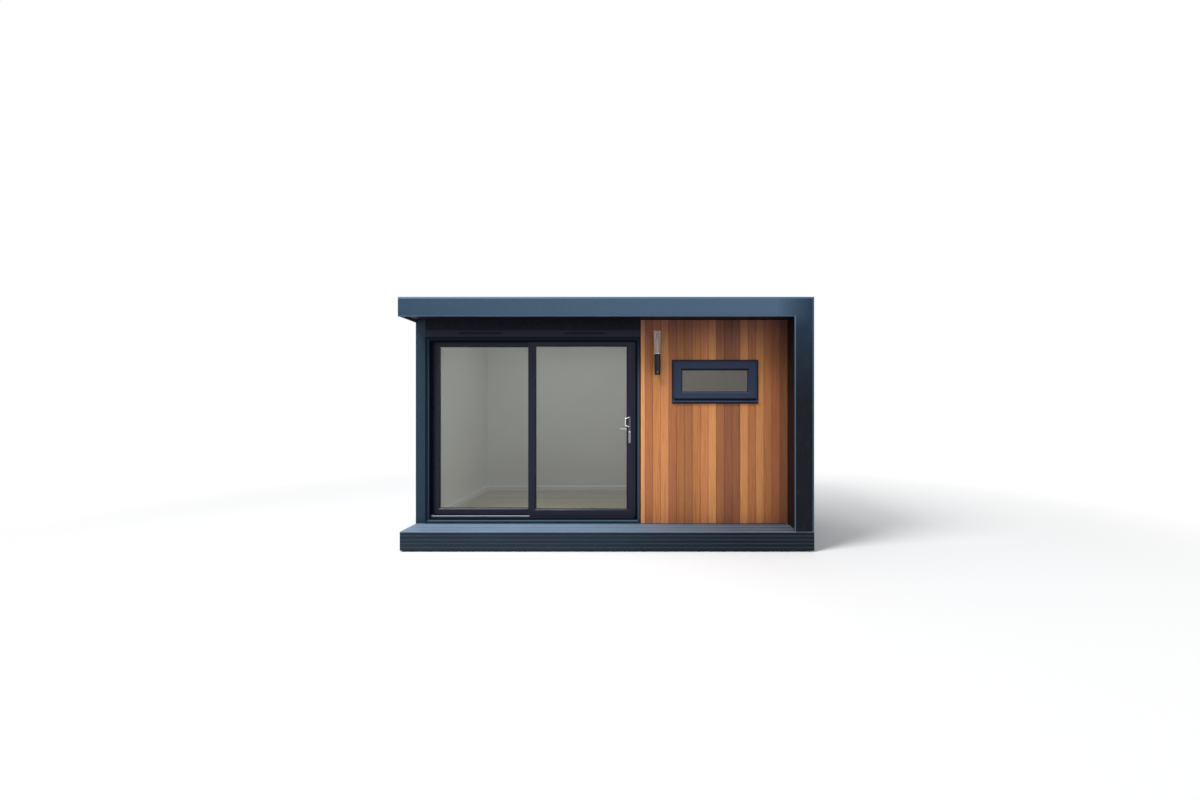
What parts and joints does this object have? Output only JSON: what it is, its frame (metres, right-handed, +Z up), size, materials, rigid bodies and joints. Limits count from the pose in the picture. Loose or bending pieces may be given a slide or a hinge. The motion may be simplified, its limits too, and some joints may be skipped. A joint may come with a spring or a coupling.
{
  "type": "garden office pod",
  "caption": "Flat-roofed garden office room on a decked base, with a sliding patio door, a cedar-clad bay with a small window, and a canopy framed by a wide anthracite trim.",
  "frame": {"origin": "ground level, under the middle of the overall box", "axes": "+X to the right seen from the front, +Y to the back, +Z up; the canopy and door face -Y"},
  "size_m": [4.287, 3.15, 2.627],
  "materials": {
    "cedar": "oiled boards",
    "deck_composite": "wood-grain composite",
    "floor_board": "sheet board",
    "floor_laminate": "satin laminate",
    "frame_plastic": "grained anthracite foil",
    "glazing": "clear sealed unit",
    "gutter_plastic": "semi-gloss anthracite",
    "handle_chrome": "polished",
    "lamp_black": "satin black",
    "lamp_glass": "frosted",
    "lamp_silver": "satin",
    "lining_white": "matt white",
    "pad_rubber": "matt moulded",
    "rail_aluminium": "mill finish",
    "roller_plastic": "moulded",
    "roof_rubber": "matt sheet",
    "skirting_white": "white satin",
    "treated_timber": "sawn, treated",
    "trim_metal": "satin anthracite",
    "wall_metal": "satin anthracite"
  },
  "bodies": {
    "pod": {"cedar_cladding": "cedar", "ceiling": "lining_white", "corner_trims": "trim_metal", "deck_boards": "deck_composite", "door_frame": "frame_plastic", "door_header": "wall_metal", "downpipe": "gutter_plastic", "fixed_glass": "glazing", "fixed_sash": "frame_plastic", "floor_deck": "floor_board", "floor_finish": "floor_laminate", "floor_joists": "treated_timber", "foundation_pads": "pad_rubber", "front_fascia": "trim_metal", "front_lining": "lining_white", "front_skirt": "deck_composite", "front_wall": "wall_metal", "gutter": "gutter_plastic", "head_extender": "frame_plastic", "header_lining": "lining_white", "joint_covers": "trim_metal", "lamp_body": "lamp_black", "lamp_trims": "lamp_silver", "lamp_tube": "lamp_glass", "leg_trim": "trim_metal", "rear_fascia": "trim_metal", "rear_lining": "lining_white", "rear_skirt": "deck_composite", "rear_wall": "wall_metal", "rim_joists": "treated_timber", "roof_membrane": "roof_rubber", "roof_panel": "wall_metal", "side_fascias": "trim_metal", "side_linings": "lining_white", "side_skirts": "deck_composite", "side_walls": "wall_metal", "skirting_board": "skirting_white", "soffit": "trim_metal", "track_rails": "rail_aluminium", "window_frame": "frame_plastic", "window_glass": "glazing", "window_reveal": "lining_white", "window_sash": "frame_plastic", "wing_wall": "wall_metal"},
    "sliding_door": {"sliding_sash": "frame_plastic", "sliding_glass": "glazing", "door_rollers": "roller_plastic", "outer_handle": "handle_chrome", "inner_handle": "handle_chrome"},
    "door_lever": {"lock_lever": "handle_chrome"}
  },
  "joints": [
    {"name": "door_slide", "type": "slide", "parent": "pod", "child": "sliding_door", "axis": [-1, 0, 0], "range_m": [0, 0.935]},
    {"name": "lever_turn", "type": "hinge", "parent": "sliding_door", "child": "door_lever", "pos_m": [0.2304, -1.083, 1.248], "axis": [0, -1, 0], "range_deg": [0, 90]}
  ]
}
